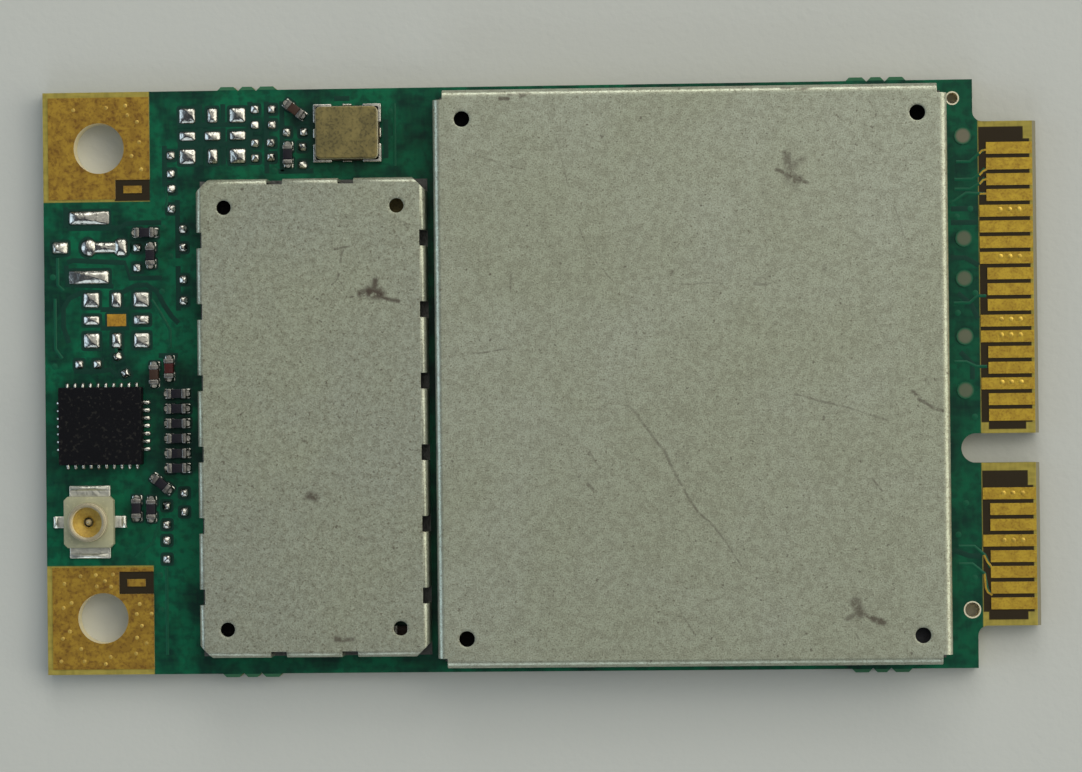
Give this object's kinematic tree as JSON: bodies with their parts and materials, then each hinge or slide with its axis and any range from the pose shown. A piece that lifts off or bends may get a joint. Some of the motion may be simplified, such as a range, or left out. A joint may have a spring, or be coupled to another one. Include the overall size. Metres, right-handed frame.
{
  "type": "mini pcie card",
  "caption": "Full-size mini PCIe radio card: green circuit board with a keyed gold contact tongue, two metal shield cans, an antenna socket and two plated screw holes.",
  "frame": {"origin": "middle of the card's footprint, at the lowest copper face", "axes": "+X along the card from the screw end to the contact tongue, +Y across the card towards its upper side, +Z out of the component side"},
  "size_m": [0.051, 0.0304, 0.0031],
  "materials": {
    "green_board": "green solder mask over woven glass laminate, bare brown laminate round the contacts",
    "hard_gold": "hard gold plate, satin",
    "immersion_gold": "immersion gold, mottled",
    "solder_tin": "bright domed solder",
    "shield_sheet": "tinned steel sheet, fine grain, scuffed",
    "frame_sheet": "tinned steel sheet",
    "socket_plastic": "moulded beige plastic",
    "socket_gold": "gold plate",
    "dark_ceramic": "fired ceramic",
    "lid_metal": "gold plated lid, dull",
    "chip_mould": "black moulded epoxy",
    "part_ceramic": "dark brown ceramic",
    "cap_tin": "dull tin",
    "masked_copper": "copper under green mask",
    "inductor_ferrite": "grey ferrite"
  },
  "bodies": {
    "root": {"circuit_board": "green_board", "contact_fingers_top": "hard_gold", "contact_fingers_bottom": "hard_gold", "upper_mounting_land": "immersion_gold", "lower_mounting_land": "immersion_gold", "small_shield_ground_track": "solder_tin", "small_shield_can": "shield_sheet", "large_shield_ground_track": "solder_tin", "large_shield_frame": "frame_sheet", "large_shield_cover": "shield_sheet", "antenna_socket_housing": "socket_plastic", "antenna_socket_outer_contact": "socket_gold", "antenna_socket_centre_contact": "socket_gold", "oscillator_base": "dark_ceramic", "oscillator_lid": "lid_metal", "oscillator_terminals": "solder_tin", "controller_chip_body": "chip_mould", "controller_chip_leads": "solder_tin", "open_strip_part_bodies": "part_ceramic", "open_strip_part_caps": "cap_tin", "open_strip_part_lands": "solder_tin", "empty_footprint_lands": "solder_tin", "upper_filter_lands": "solder_tin", "lower_filter_lands": "solder_tin", "lower_filter_gold_land": "immersion_gold", "spare_socket_lands": "solder_tin", "tented_round_pads": "masked_copper", "bottom_test_pads": "immersion_gold", "baseband_processor": "chip_mould", "baseband_solder_posts": "solder_tin", "memory_chip": "chip_mould", "power_manager_chip": "chip_mould", "main_crystal": "lid_metal", "power_inductors": "inductor_ferrite", "large_side_capacitor_bodies": "part_ceramic", "large_side_capacitor_caps": "cap_tin", "radio_transceiver": "chip_mould", "power_amplifier_chips": "chip_mould", "duplexer_filters": "lid_metal", "antenna_switch_chip": "chip_mould", "small_side_capacitor_bodies": "part_ceramic", "small_side_capacitor_caps": "cap_tin"}
  },
  "joints": []
}
